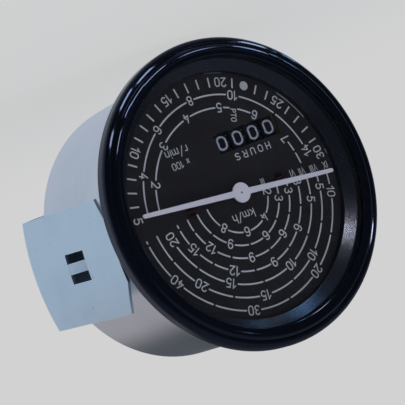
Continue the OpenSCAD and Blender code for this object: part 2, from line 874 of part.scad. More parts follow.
module transfer_pinion(place) {
    x = -counter_left + (place - 2) * wheel_pitch;
    color([0.78, 0.66, 0.36])
        to_right(x, pinion_y, pinion_z) rotate(pinion_down + 90 + 180 / pinion_teeth)
            linear_extrude(gap_w - 0.3, center = true)
                carry_outline(pinion_teeth, pinion_r, pinion_shaft_r + run);
}

module number_wheel_1() { number_wheel(1); }
module number_wheel_2() { number_wheel(2); }
module number_wheel_3() { number_wheel(3); }
module number_wheel_4() { number_wheel(4); }
module carry_gear_1() { carry_gear(1); }
module carry_gear_2() { carry_gear(2); }
module carry_gear_3() { carry_gear(3); }
module transfer_pinion_1() { transfer_pinion(1); }
module transfer_pinion_2() { transfer_pinion(2); }
module transfer_pinion_3() { transfer_pinion(3); }

// Lamps and ground

module lamp_sockets() {
    color([0.66, 0.68, 0.72])
        for (s = [-1, 1])
            turned_at(s * lamp_x, lamp_z,
                [[lamp_r - 1.2, case_depth - socket_l], [lamp_r, case_depth - socket_l], [lamp_r, case_depth],
                [lamp_r + 2, case_depth], [lamp_r + 2, case_depth + 1.2], [lamp_r - 1, case_depth + 1.2],
                [lamp_r - 1, case_depth + cap_h], [stem_r + run, case_depth + cap_h],
                [stem_r + run, case_depth + cap_h - cap_t], [lamp_r - 1.2, case_depth + cap_h - cap_t]]);
}

// Turned part on its own axis beside the main one
module turned_at(x, z, outline) {
    translate([x, 0, z]) turned(outline);
}

module lamp_bulbs() {
    front = case_depth + 3 - bulb_l;
    bulb_r = lamp_r - 1.5;
    color([0.9, 0.9, 0.85, 0.6])
        for (s = [-1, 1]) {
            to_rear(s * lamp_x, front, lamp_z) cylinder(r = bulb_r, h = bulb_l);
            to_rear(s * lamp_x, front, lamp_z) sphere(r = bulb_r);
        }
}

module lamp_terminals() {
    stem_front = case_depth + cap_h - cap_t - 2.2;
    pin_front = case_depth + cap_h;
    color([0.78, 0.6, 0.35])
        for (s = [-1, 1])
            turned_at(s * lamp_x, lamp_z,
                [[0, stem_front], [stem_r, stem_front], [stem_r, pin_front], [terminal_r, pin_front],
                [terminal_r, pin_front + terminal_l], [0, pin_front + terminal_l]]);
}

module ground_screw() {
    color([0.7, 0.65, 0.45]) {
        to_rear(0, case_depth, -ground_z) cylinder(r = 5, h = 1);
        to_rear(0, case_depth + 1, -ground_z) cylinder(r = 4.04, h = 3.2, $fn = 6);
        to_rear(0, wall_front - 4, -ground_z) cylinder(r = stud_r - run, h = case_wall + 4 + eps);
    }
}

bezel_ring();
window_glass();
glass_gasket();
dial_shroud();
case_shell();
dial_plate();
dial_screws();
pointer();
pointer_arbor();
drag_cup();
hairspring();
regulator_stud();
travel_stops();
arbor_bridge();
bridge_nuts();
field_cup();
base_casting();
ring_magnet();
drive_spindle();
drive_worm();
spindle_bush();
drive_nipple();
nipple_nut();
mounting_strap();
strap_studs();
strap_washers();
strap_nuts();
cross_shaft();
cross_wheel();
cross_worm();
lay_shaft();
lay_wheel();
lay_worm();
counter_frame();
counter_shaft();
counter_wheel();
number_wheel_1();
number_wheel_2();
number_wheel_3();
number_wheel_4();
carry_gear_1();
carry_gear_2();
carry_gear_3();
pinion_shaft();
transfer_pinion_1();
transfer_pinion_2();
transfer_pinion_3();
lamp_sockets();
lamp_bulbs();
lamp_terminals();
ground_screw();
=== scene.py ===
import bmesh
import bpy
import json
from math import atan2, ceil, cos, degrees, hypot, pi, radians, sin
from mathutils import Euler, Matrix, Vector


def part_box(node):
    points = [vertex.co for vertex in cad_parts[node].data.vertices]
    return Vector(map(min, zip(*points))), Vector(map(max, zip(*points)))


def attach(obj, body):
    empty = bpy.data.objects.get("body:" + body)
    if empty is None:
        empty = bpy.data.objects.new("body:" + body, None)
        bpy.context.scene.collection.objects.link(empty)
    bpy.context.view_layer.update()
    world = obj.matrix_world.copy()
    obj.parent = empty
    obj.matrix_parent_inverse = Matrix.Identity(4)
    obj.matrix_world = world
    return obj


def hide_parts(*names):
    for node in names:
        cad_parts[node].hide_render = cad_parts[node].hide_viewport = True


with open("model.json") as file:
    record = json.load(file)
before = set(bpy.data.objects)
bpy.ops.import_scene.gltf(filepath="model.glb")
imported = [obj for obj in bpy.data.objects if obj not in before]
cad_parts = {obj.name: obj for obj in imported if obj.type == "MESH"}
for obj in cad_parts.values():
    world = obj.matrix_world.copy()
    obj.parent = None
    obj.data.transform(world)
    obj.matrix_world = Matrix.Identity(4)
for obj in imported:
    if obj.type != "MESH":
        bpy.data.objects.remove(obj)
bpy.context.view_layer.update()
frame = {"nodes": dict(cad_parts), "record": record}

nodes = frame["nodes"]
mm = 0.001


# The camera comes first: it stands where the photograph was taken from

camera = {
    "location": (0.470596, -0.683378, 0.015712),
    "turnDegrees": (-88.63633, -21.97064, -147.24144),  # rolled over, the dial is upside-down
    "lensMm": 151.085,
    "sensorMm": 36,
}

cameraData = bpy.data.cameras.new("photoCamera")
cameraData.lens = camera["lensMm"]
cameraData.sensor_width = camera["sensorMm"]
cameraObject = bpy.data.objects.new("photoCamera", cameraData)
cameraObject.location = camera["location"]
cameraObject.rotation_euler = Euler([radians(a) for a in camera["turnDegrees"]], "XYZ")
bpy.context.scene.collection.objects.link(cameraObject)
bpy.context.scene.camera = cameraObject
bpy.context.scene.view_settings.view_transform = "Standard"
print("camera set")


# Shader helpers

def linear(hexCode):
    channels = [int(hexCode[i:i + 2], 16) / 255 for i in (1, 3, 5)]
    return [c / 12.92 if c <= 0.04045 else ((c + 0.055) / 1.055) ** 2.4 for c in channels] + [1.0]


def addNode(tree, kind, inputs=None, **settings):
    node = tree.nodes.new(kind)
    for name, value in settings.items():
        setattr(node, name, value)
    for name, value in (inputs or {}).items():
        if isinstance(value, bpy.types.NodeSocket):
            tree.links.new(value, node.inputs[name])
        else:
            node.inputs[name].default_value = value
    return node


def newMaterial(name):
    material = bpy.data.materials.new(name)
    material.use_nodes = True
    tree = material.node_tree
    tree.nodes.clear()
    return material, tree


# Fractal noise at a real size: featureMm is the spacing of its blotches, stretch divides that per axis
def grainNoise(tree, featureMm, stretch=(1, 1, 1), detail=4, rough=0.55, vector=None):
    if vector is None:
        vector = addNode(tree, "ShaderNodeTexCoord").outputs["Object"]
    scale = 1 / (featureMm * mm)
    mapped = addNode(tree, "ShaderNodeMapping", {"Vector": vector, "Scale": [scale * s for s in stretch]})
    return addNode(tree, "ShaderNodeTexNoise", {"Vector": mapped.outputs["Vector"], "Scale": 1,
                   "Detail": detail, "Roughness": rough}).outputs["Fac"]


# Blend of several sRGB colours along a value
def colourBlend(tree, value, stops):
    ramp = addNode(tree, "ShaderNodeValToRGB", {"Fac": value})
    elements = ramp.color_ramp.elements
    while len(elements) < len(stops):
        elements.new(0.5)
    for element, (place, hexCode) in zip(elements, stops):
        element.position = place
        element.color = linear(hexCode)
    return ramp.outputs["Color"]


# Two shades that meet in the middle of a noise
def twoShades(tree, value, colours):
    return colourBlend(tree, value, [(0.35, colours[0]), (0.65, colours[1])])


# Value from 0.3..0.7 of a noise to a plain range
def spread(tree, value, low, high):
    return addNode(tree, "ShaderNodeMapRange", {"Value": value, "From Min": 0.3, "From Max": 0.7,
                   "To Min": low, "To Max": high}).outputs["Result"]


def bumpFrom(tree, height, depthMm, normal=None):
    inputs = {"Height": height, "Distance": depthMm * mm, "Strength": 1.0}
    if normal is not None:
        inputs["Normal"] = normal
    return addNode(tree, "ShaderNodeBump", inputs).outputs["Normal"]


edgeWearAndGlintSize = {
    "radiusMm": 0.4,        # how far from an edge the paler colour reaches
    "turned": (0.02, 0.2),  # from no edge to a full one, as the normal's change within that radius
}


# Paler places along sharp edges, from 0 to 1: rubbed metal, and on the browned screws a painted copper glint
def edgeWear(tree):
    bevel = addNode(tree, "ShaderNodeBevel", {"Radius": edgeWearAndGlintSize["radiusMm"] * mm}, samples=4)
    plain = addNode(tree, "ShaderNodeNewGeometry")
    apart = addNode(tree, "ShaderNodeVectorMath", {0: bevel.outputs["Normal"], 1: plain.outputs["Normal"]},
                    operation="DISTANCE")
    return addNode(tree, "ShaderNodeMapRange", {"Value": apart.outputs["Value"],
                   "From Min": edgeWearAndGlintSize["turned"][0], "From Max": edgeWearAndGlintSize["turned"][1]}).outputs["Result"]


def finishWith(tree, inputs):
    shader = addNode(tree, "ShaderNodeBsdfPrincipled", inputs)
    addNode(tree, "ShaderNodeOutputMaterial", {"Surface": shader.outputs["BSDF"]})
    return shader


# Coordinates for a turned or drawn piece: around the axis and along it
def turnedCoordinates(tree, radiusMm):
    place = addNode(tree, "ShaderNodeTexCoord").outputs["Object"]
    place = addNode(tree, "ShaderNodeSeparateXYZ", {"Vector": place})
    around = addNode(tree, "ShaderNodeMath", {0: place.outputs["Z"], 1: place.outputs["X"]},
                     operation="ARCTAN2")
    length = addNode(tree, "ShaderNodeMath", {0: around.outputs[0], 1: radiusMm * mm}, operation="MULTIPLY")
    return addNode(tree, "ShaderNodeCombineXYZ", {"X": length.outputs[0],
                   "Y": place.outputs["Y"]}).outputs["Vector"]


# Stoved enamel on sheet: slightly wavy from the dip, so highlights wobble, with fine grain in the skin
def stovedEnamel(name, colours, roughness, waveMm, depthMm, tint=None, speckMm=0.6, speckDepth=0.25,
                 ior=1.5):
    material, tree = newMaterial(name)
    cloud = grainNoise(tree, waveMm * 6)
    speck = grainNoise(tree, speckMm, detail=2)
    both = addNode(tree, "ShaderNodeMixRGB", {"Fac": 0.6, "Color1": cloud, "Color2": speck})
    normal = bumpFrom(tree, grainNoise(tree, waveMm, detail=1), depthMm)
    normal = bumpFrom(tree, speck, depthMm * speckDepth, normal=normal)
    shader = finishWith(tree, {"Base Color": twoShades(tree, both.outputs["Color"], colours),
                               "Roughness": spread(tree, cloud, roughness[0], roughness[1]),
                               "Normal": normal, "IOR": ior})
    if tint:
        shader.inputs["Specular Tint"].default_value = linear(tint)
    return material


# A few short scratches along the metal's grain: strength at the noise's highest places
scratches = {"stretch": (0.12, 1, 1.6), "rough": 0.7, "from": (0.655, 0.7), "most": 0.8}


# Plated or machined metal: fine lines left by the tool, slow clouds of passivation, bright edges
def toolMarkedMetal(name, colours, roughness, lineMm, stretch=(1, 1, 1), cloudMm=18, edge=None,
                    depthMm=0.01, turnedMm=None, scratchMm=0, scratch=None, metallic=1.0):
    material, tree = newMaterial(name)
    vector = turnedCoordinates(tree, turnedMm) if turnedMm else None
    lines = grainNoise(tree, lineMm, stretch, detail=3, vector=vector)
    cloud = grainNoise(tree, cloudMm, detail=3)
    stops = [(0.3 + 0.4 * i / (len(colours) - 1), c) for i, c in enumerate(colours)]
    colour = colourBlend(tree, cloud, stops)
    # paler sharp edges: rubbed metal, and on the browned screws a painted glint
    if edge:
        colour = addNode(tree, "ShaderNodeMixRGB", {"Fac": edgeWear(tree), "Color1": colour,
                         "Color2": linear(edge)}).outputs["Color"]
    if scratch:  # they show the bare zinc
        long = grainNoise(tree, scratchMm, scratches["stretch"], detail=5, rough=scratches["rough"])
        thin = addNode(tree, "ShaderNodeMapRange", {"Value": long, "From Min": scratches["from"][0],
                       "From Max": scratches["from"][1], "To Max": scratches["most"]})
        colour = addNode(tree, "ShaderNodeMixRGB", {"Fac": thin.outputs["Result"], "Color1": colour,
                         "Color2": linear(scratch)}).outputs["Color"]
    finishWith(tree, {"Base Color": colour, "Metallic": metallic,
                      "Roughness": spread(tree, lines, roughness[0], roughness[1]),
                      "Normal": bumpFrom(tree, lines, depthMm)})
    return material


# Moulded or matt pieces: slight unevenness and a dusting of fine grain
def grainedMatt(name, colours, roughness, grainMm, depthMm, ior):
    material, tree = newMaterial(name)
    cloudMm = 8
    cloud = grainNoise(tree, cloudMm)
    grain = grainNoise(tree, grainMm, detail=3)
    finishWith(tree, {"Base Color": twoShades(tree, cloud, colours),
                      "Roughness": spread(tree, grain, roughness[0], roughness[1]),
                      "Normal": bumpFrom(tree, grain, depthMm), "IOR": ior})
    return material


glass = {"mirror": "#dfe9ff", "roughness": 0.02, "dustMm": 9, "dustFrom": (0.45, 0.75)}


# Clear glass: see-through with a weak mirror that grows towards the edge, and faint dust
def clearGlass(name, tintHex, ior, dustHex, dust):
    material, tree = newMaterial(name)
    mirror = addNode(tree, "ShaderNodeBsdfGlossy", {"Color": linear(glass["mirror"]),
                     "Roughness": glass["roughness"]})
    clear = addNode(tree, "ShaderNodeBsdfTransparent", {"Color": linear(tintHex)})
    film = addNode(tree, "ShaderNodeBsdfDiffuse", {"Color": linear(dustHex)})
    amount = addNode(tree, "ShaderNodeMapRange", {"Value": grainNoise(tree, glass["dustMm"], detail=6),
                     "From Min": glass["dustFrom"][0], "From Max": glass["dustFrom"][1], "To Max": dust})
    through = addNode(tree, "ShaderNodeMixShader", {0: amount.outputs["Result"], 1: clear.outputs[0],
                      2: film.outputs[0]})
    fresnel = addNode(tree, "ShaderNodeFresnel", {"IOR": ior})
    leaving = addNode(tree, "ShaderNodeNewGeometry").outputs["Backfacing"]
    share = addNode(tree, "ShaderNodeMixRGB", {"Fac": leaving, "Color1": fresnel.outputs["Fac"],
                    "Color2": (0, 0, 0, 1)})  # light that leaves the pane isn't mirrored back into it
    mixed = addNode(tree, "ShaderNodeMixShader", {0: share.outputs["Color"], 1: through.outputs[0],
                    2: mirror.outputs[0]})
    addNode(tree, "ShaderNodeOutputMaterial", {"Surface": mixed.outputs[0]})
    return material


materials = {
    # Black stoving enamel on pressed sheet: deep gloss with a blue cast in its reflections
    "bezel_enamel": stovedEnamel("glossBlackStovingEnamel", ("#05060a", "#090b12"), (0.07, 0.11), 9, 0.02,
                                 tint="#c0d0ff", speckMm=0.5, speckDepth=0.1),
    # The same enamel sprayed thinner inside the rim: softer gloss
    "shroud_enamel": stovedEnamel("semiGlossBlackEnamel", ("#121317", "#16171c"), (0.18, 0.22), 8, 0.01,
                                  tint="#e2e6ff", speckDepth=0.02),
    # Matt black dial enamel: a fine tooth that scatters light and keeps the face dark
    "dial_enamel": stovedEnamel("mattBlackDialEnamel", ("#1b1819", "#272425"), (0.65, 0.75), 9, 0.004,
                                speckMm=0.55, speckDepth=0.8, ior=1.35),
    # Off-white satin enamel on stamped sheet: a soft, nearly even white
    "pointer_enamel": stovedEnamel("satinWhiteEnamel", ("#cbc6d0", "#d4cfd8"), (0.35, 0.45), 5, 0.004),
    # Drawn steel can, zinc plated and passivated: lilac clouds over fine rings from drawing
    "case_zinc": toolMarkedMetal("lilacPassivatedZinc", ("#d2dae2", "#d8dee6", "#dedfe6"), (0.26, 0.32),
                                 0.5, (0.02, 1, 1), cloudMm=45, depthMm=0.0007, edge="#e4e7f2", turnedMm=69),
    # Cold-rolled steel strap, zinc plated: smooth pale blue film with a few fine scratches
    "strap_zinc": toolMarkedMetal("paleBluePassivatedZinc", ("#c6dae8", "#cde0ed", "#caddeb"),
                                  (0.32, 0.38), 0.4, (1, 0.03, 1), cloudMm=30, depthMm=0.002,
                                  edge="#dfeaf4", scratchMm=3.5, scratch="#8d9caa"),
    # Bright zinc on turned steel: cool grey, paler at its edges
    "zinc_steel": toolMarkedMetal("brightZincPlate", ("#a6aab2", "#bcc0c8"), (0.24, 0.36), 0.3,
                                  cloudMm=6, edge="#d5d8de"),
    # Turned steel: bright, with a fine grain from the tool
    "turned_steel": toolMarkedMetal("turnedSteel", ("#9fa1a6", "#b4b6bb"), (0.2, 0.32), 0.2,
                                    cloudMm=5, edge="#c9cbd0"),
    # Browned steel screws: a coppery brown oxide that goes bright at the slot's edges, where it is rubbed and
    # where a painted copper glint lies
    "dial_screw_steel": toolMarkedMetal("brownedSteel", ("#4e3529", "#634738"), (0.3, 0.42), 0.3,
                                        cloudMm=2, edge="#b28a74"),
    # Spun aluminium: pale and soft, with rings
    "cup_aluminium": toolMarkedMetal("spunAluminium", ("#c9cacc", "#d6d7d9"), (0.28, 0.4), 0.3,
                                     (0.05, 1, 1), turnedMm=12),
    # Phosphor bronze ribbon: warm and smooth
    "spring_bronze": toolMarkedMetal("phosphorBronzeRibbon", ("#b08350", "#c0935e"), (0.2, 0.3), 0.2,
                                     cloudMm=3),
    # Machined brass, lightly tarnished: yellow with browner clouds
    "instrument_brass": toolMarkedMetal("machinedBrass", ("#b1904f", "#cdb068", "#b89a58"), (0.22, 0.36),
                                        0.3, cloudMm=5, edge="#e0c987", metallic=0.6),
    # Annealed iron cup: dull grey with a rolled grain
    "field_iron": toolMarkedMetal("annealedIron", ("#6a6b6e", "#7b7c80"), (0.4, 0.55), 0.4, (0.05, 1, 1),
                                  turnedMm=14),
    # Die-cast alloy: grey skin with flow clouds and a fine orange peel
    "cast_alloy": toolMarkedMetal("dieCastAlloy", ("#8d8f92", "#a2a4a7"), (0.45, 0.6), 0.8,
                                  cloudMm=12, edge="#bfc1c4", depthMm=0.03),
    # Sintered magnet: dark, granular and dull
    "magnet_alloy": toolMarkedMetal("sinteredMagnet", ("#3e3e42", "#4b4b50"), (0.5, 0.65), 0.5,
                                    cloudMm=4, depthMm=0.02),
    # Sintered bronze: brown and porous
    "bush_bronze": toolMarkedMetal("sinteredBronze", ("#8a6a41", "#9c7b4e"), (0.4, 0.55), 0.4,
                                   cloudMm=3, depthMm=0.02),
    # Moulded rubber: black and dull, with a soft grain
    "seal_rubber": grainedMatt("mouldedRubber", ("#121212", "#1a1a1a"), (0.7, 0.85), 0.6, 0.02, 1.52),
    # Moulded phenolic plastic: black with a slight sheen
    "number_plastic": grainedMatt("mouldedPhenolic", ("#0c0c0e", "#121215"), (0.4, 0.5), 0.5, 0.01, 1.55),
    # Flat pane of float glass: hardly seen but for its cool mirror
    "window_glass": clearGlass("clearWindowGlass", "#fbfcfd", 1.5, "#b9bec6", 0.004),
    # Blown bulb glass: clear with a little grey film
    "bulb_glass": clearGlass("clearBulbGlass", "#f2f2ee", 1.45, "#c8c8c4", 0.05),
}

slotOf = {part["node"]: part["material_slot"] for part in frame["record"]["subparts"]}
for nodeName, nodeObject in nodes.items():
    nodeObject.data.materials.clear()
    nodeObject.data.materials.append(materials[slotOf[nodeName]])
print("materials on", len(nodes), "CAD nodes")


# Printed strokes: ribbons of paint, drawn as figures of constant width like those of a stencil pen

def bow(cx, cy, rx, ry, start, end, steps=8):
    return [(cx + rx * cos(radians(start + (end - start) * i / steps)),
             cy + ry * sin(radians(start + (end - start) * i / steps))) for i in range(steps + 1)]


ring = [True]  # marks a stroke that closes on itself
figures = {  # width, then strokes, in units of the figure's height
    "0": (0.56, [bow(0.28, 0.72, 0.28, 0.28, 0, 180) + bow(0.28, 0.28, 0.28, 0.28, 180, 360) + ring]),
    "1": (0.34, [[(0.02, 0.72), (0.3, 1), (0.3, 0)]]),
    "2": (0.56, [bow(0.28, 0.72, 0.27, 0.28, 165, -30) + [(0, 0), (0.56, 0)]]),
    "3": (0.56, [bow(0.27, 0.755, 0.245, 0.245, 155, -90) + bow(0.27, 0.255, 0.28, 0.255, 90, -155)]),
    "4": (0.56, [[(0.36, 1), (0, 0.3), (0.56, 0.3)], [(0.4, 0.55), (0.4, 0)]]),
    "5": (0.56, [[(0.52, 1), (0.1, 1), (0.06, 0.55)] + bow(0.26, 0.31, 0.3, 0.31, 115, -150)]),
    "6": (0.56, [bow(0.28, 0.3, 0.28, 0.3, 0, 360, 16)[:-1] + ring,
                 [(0, 0.3), (0, 0.62)] + bow(0.28, 0.68, 0.28, 0.32, 180, 35)]),
    "7": (0.56, [[(0, 1), (0.54, 1), (0.2, 0)]]),
    "8": (0.56, [bow(0.28, 0.76, 0.23, 0.24, 0, 360, 16)[:-1] + ring,
                 bow(0.28, 0.26, 0.28, 0.26, 0, 360, 16)[:-1] + ring]),
    "9": (0.56, [bow(0.28, 0.7, 0.28, 0.3, 0, 360, 16)[:-1] + ring,
                 [(0.56, 0.7), (0.56, 0.38)] + bow(0.28, 0.32, 0.28, 0.32, 0, -145)]),
    "k": (0.42, [[(0, 1), (0, 0)], [(0.38, 0.62), (0, 0.26)], [(0.13, 0.38), (0.42, 0)]]),
    "m": (0.68, [[(0, 0), (0, 0.62)], [(0, 0.3)] + bow(0.17, 0.45, 0.17, 0.17, 180, 0) + [(0.34, 0)],
                 [(0.34, 0.3)] + bow(0.51, 0.45, 0.17, 0.17, 180, 0) + [(0.68, 0)]]),
    "/": (0.4, [[(0, -0.08), (0.4, 1.05)]]),
    "h": (0.4, [[(0, 1), (0, 0)], [(0, 0.3)] + bow(0.2, 0.42, 0.2, 0.2, 180, 0) + [(0.4, 0)]]),
    "n": (0.4, [[(0, 0.62), (0, 0)], [(0, 0.3)] + bow(0.2, 0.42, 0.2, 0.2, 180, 0) + [(0.4, 0)]]),
    "r": (0.3, [[(0, 0.62), (0, 0)], [(0, 0.3)] + bow(0.18, 0.42, 0.18, 0.2, 180, 60)]),
    "i": (0.02, [[(0, 0.62), (0, 0)], [(0, 0.85), (0, 0.9)]]),
    "x": (0.4, [[(0, 0.6), (0.4, 0)], [(0.4, 0.6), (0, 0)]]),
    "H": (0.54, [[(0, 0), (0, 1)], [(0.54, 0), (0.54, 1)], [(0, 0.52), (0.54, 0.52)]]),
    "O": (0.58, [bow(0.29, 0.71, 0.29, 0.29, 0, 180) + bow(0.29, 0.29, 0.29, 0.29, 180, 360) + ring]),
    "U": (0.56, [[(0, 1), (0, 0.28)] + bow(0.28, 0.28, 0.28, 0.28, 180, 360) + [(0.56, 1)]]),
    "R": (0.54, [[(0, 0), (0, 1), (0.28, 1)] + bow(0.28, 0.74, 0.26, 0.26, 90, -90) + [(0, 0.48)],
                 [(0.28, 0.48), (0.54, 0)]]),
    "S": (0.54, [bow(0.27, 0.745, 0.255, 0.255, 30, 270) + bow(0.27, 0.25, 0.27, 0.25, 80, -150)]),
    "P": (0.54, [[(0, 0), (0, 1), (0.28, 1)] + bow(0.28, 0.74, 0.26, 0.26, 90, -90) + [(0, 0.48)]]),
    "T": (0.54, [[(0, 1), (0.54, 1)], [(0.27, 1), (0.27, 0)]]),
    "I": (0.02, [[(0.01, 0), (0.01, 1)]]),
    "V": (0.5, [[(0, 1), (0.25, 0), (0.5, 1)]]),
    "X": (0.5, [[(0, 0), (0.5, 1)], [(0, 1), (0.5, 0)]]),
    " ": (0.3, []),
}


# Strokes of a word centred on a point, turned by an angle, as (points, closed, width)
def letterStrokes(text, centre, height, width, turn=0.0, spacing=0.24, stretch=1.0):
    advance = [figures[c][0] * stretch for c in text]
    total = sum(advance) + spacing * (len(text) - 1)
    strokes, start = [], -total / 2
    for letter, step in zip(text, advance):
        for stroke in figures[letter][1]:
            closed = stroke[-1] is True
            points = []
            for u, v in (stroke[:-1] if closed else stroke):
                x, z = (start + u * stretch) * height, (v - 0.5) * height
                points.append((centre[0] + x * cos(turn) - z * sin(turn),
                               centre[1] + x * sin(turn) + z * cos(turn)))
            strokes.append((points, closed, width))
        start += step + spacing
    return strokes


pen = {
    "sameMm": 1e-4,       # points closer than this are one
    "mitreLimit": 0.45,   # keeps a sharp corner from growing a long spike
    "capSteps": 5,
    "discSteps": 28,
}


# One flat ribbon along a stroke, with round ends and mitred corners
def ribbon(points, closed, width):
    clean = [points[0]]
    for p in points[1:]:
        if hypot(p[0] - clean[-1][0], p[1] - clean[-1][1]) > pen["sameMm"]:
            clean.append(p)
    if closed and hypot(clean[0][0] - clean[-1][0], clean[0][1] - clean[-1][1]) < pen["sameMm"]:
        clean.pop()
    count = len(clean)
    half = width / 2
    left, right = [], []
    for i, p in enumerate(clean):
        before = clean[i - 1] if (i > 0 or closed) else None
        after = clean[(i + 1) % count] if (i < count - 1 or closed) else None
        ways = []
        for a, b in ((before, p), (p, after)):
            if a is not None and b is not None:
                size = hypot(b[0] - a[0], b[1] - a[1])
                ways.append(((b[0] - a[0]) / size, (b[1] - a[1]) / size))
        tx, tz = sum(w[0] for w in ways), sum(w[1] for w in ways)
        size = hypot(tx, tz)
        nx, nz = -tz / size, tx / size
        reach = half / max(pen["mitreLimit"], -ways[0][1] * nx + ways[0][0] * nz)
        left.append((p[0] + nx * reach, p[1] + nz * reach))
        right.append((p[0] - nx * reach, p[1] - nz * reach))
    verts = left + right
    faces = [[i, count + i, count + (i + 1) % count, (i + 1) % count]
             for i in range(count if closed else count - 1)]
    if not closed:
        for end, (p, q) in ((0, (clean[0], clean[1])), (count - 1, (clean[-1], clean[-2]))):
            out = atan2(p[1] - q[1], p[0] - q[0])
            capStart = len(verts)
            for k in range(1, pen["capSteps"]):
                a = out + pi / 2 - pi * k / pen["capSteps"]
                verts.append((p[0] + half * cos(a), p[1] + half * sin(a)))
            first, last = (end, count + end) if end == count - 1 else (count + end, end)
            faces.append([first] + list(range(capStart, len(verts))) + [last])
    return verts, faces


# One filled round dot
def fullDisc(x, z, radius):
    around = pen["discSteps"]
    turns = [2 * pi * i / around for i in range(around)]
    rim = [(x + radius * cos(a), z + radius * sin(a)) for a in turns]
    return [(x, z)] + rim, [[0, 1 + (i + 1) % around, 1 + i] for i in range(around)]


paintFilm = {
    "thickMm": 0.04,
    "clearMm": 0.02,    # between the paint and what it is printed on
    "stepMm": 0.004,    # overlapping strokes lie on different steps
    "steps": 3,
}


# Mesh of many ribbons: toSpace takes a flat point and gives its place in mm and the way outwards
def printedMesh(name, strokes, toSpace, body, material, discs=()):
    verts, faces = [], []
    flats = [ribbon(points, closed, width) for points, closed, width in strokes]
    flats += [fullDisc(x, z, radius) for x, z, radius in discs]
    for index, (flat, quads) in enumerate(flats):
        base = len(verts)
        lift = paintFilm["clearMm"] + paintFilm["stepMm"] * (index % paintFilm["steps"])
        for u, v in flat:
            place, out = toSpace(u, v)
            verts.append([(a + b * (paintFilm["thickMm"] + lift)) * mm for a, b in zip(place, out)])
        for face in quads:  # all wound the same way
            corners = [flat[i] for i in face]
            area = sum(p[0] * q[1] - q[0] * p[1] for p, q in zip(corners, corners[1:] + corners[:1]))
            faces.append([base + i for i in (face if area > 0 else face[::-1])])
    mesh = bpy.data.meshes.new(name)
    mesh.from_pydata(verts, [], faces)
    mesh.update()
    place, out = toSpace(*strokes[0][0][0])
    if sum(a * b for a, b in zip(mesh.polygons[0].normal, out)) < 0:
        mesh.flip_normals()
    piece = bpy.data.objects.new(name, mesh)
    bpy.context.scene.collection.objects.link(piece)
    solid = piece.modifiers.new("paintThickness", "SOLIDIFY")
    solid.thickness = paintFilm["thickMm"] * mm
    solid.offset = -1
    mesh.materials.append(material)
    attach(piece, body)
    return piece


# Screen-printed paint: grey-white, a little thin and uneven over the matt enamel
def printedPaint(name, colours, roughness):
    material, tree = newMaterial(name)
    speckMm, cloudMm, depthMm = 0.5, 12, 0.01
    thin = grainNoise(tree, speckMm, detail=2)
    cloud = grainNoise(tree, cloudMm, detail=2)
    shade = addNode(tree, "ShaderNodeMath", {0: thin, 1: cloud}, operation="ADD")
    half = addNode(tree, "ShaderNodeMath", {0: shade.outputs[0], 1: 0.5}, operation="MULTIPLY")
    finishWith(tree, {"Base Color": twoShades(tree, half.outputs[0], colours),
                      "Roughness": spread(tree, thin, roughness[0], roughness[1]),
                      "Normal": bumpFrom(tree, thin, depthMm), "IOR": 1.5})
    return material


scalePaint = printedPaint("screenPrintedGreyWhite", ("#a9aaad", "#c2c3c6"), (0.55, 0.7))
wheelPaint = printedPaint("filledWheelFigures", ("#858a98", "#a3a8b6"), (0.45, 0.6))


# Dial printing

dial = {
    "faceY": 4.0,
    "arcWidth": 0.78,
    "figureHeight": 4.4,
    "figureWidth": 0.62,
    "figureSpacing": 0.28,      # between two figures of a number, as a share of their height
    "figureGap": 1.1,           # bare dial on each side of a figure
    "minorGap": 1.9,            # holds the round ends of both strokes too
    "firstAngle": 95.0,         # angle of 500 r/min, clockwise from upright
    "angleStep": 6.8,           # for each 100 r/min
    "tickRadius": 57.5,
    "tick": (4.4, 0.8),
    "dotRadius": 2.35,
    "nominal": 22,              # rated speed of the engine, in 100 r/min
    "stepMm": 1.2,              # length of an arc's straight pieces
    "shortestMm": 0.6,          # an arc's piece between two gaps is left out below this
    "speedArc": (275.5, 444.5),  # where the arcs of road speed start and end
    "lastFigure": 446,
    "lastGap": 443,
}


def rpmAngle(n):
    return dial["firstAngle"] + (n - 5) * dial["angleStep"]


def polar(r, angle):
    return r * sin(radians(angle)), r * cos(radians(angle))


def arcPoints(r, start, end):
    steps = max(2, ceil(abs(end - start) * pi / 180 * r / dial["stepMm"]))
    return [polar(r, start + (end - start) * i / steps) for i in range(steps + 1)]


# Turn that sets a figure's top outwards (upper half) or towards the middle (lower half)
def figureTurn(angle, outwards):
    return -radians(angle) if outwards else pi - radians(angle)


def arcWithFigures(r, start, end, labels, gaps, outwards):
    strokes, cuts = [], []
    for angle, text in labels:
        x, z = polar(r, angle)
        strokes += letterStrokes(text, (x, z), dial["figureHeight"], dial["figureWidth"],
                                 figureTurn(angle, outwards), dial["figureSpacing"])
        wide = sum(figures[c][0] for c in text) + dial["figureSpacing"] * (len(text) - 1)
        wide *= dial["figureHeight"]
        half = degrees((wide / 2 + dial["figureWidth"] / 2 + dial["figureGap"]) / r)
        cuts.append((angle - half, angle + half))
    for angle in gaps:
        half = degrees(dial["minorGap"] / 2 / r)
        cuts.append((angle - half, angle + half))
    cursor = start
    for low, high in sorted(cuts) + [(end, end)]:
        if low - cursor > degrees(dial["shortestMm"] / r):
            strokes.append((arcPoints(r, cursor, min(low, end)), False, dial["arcWidth"]))
        cursor = max(cursor, high)
    return strokes


def onDial(u, v):
    return (u, dial["faceY"], v), (0, -1, 0)


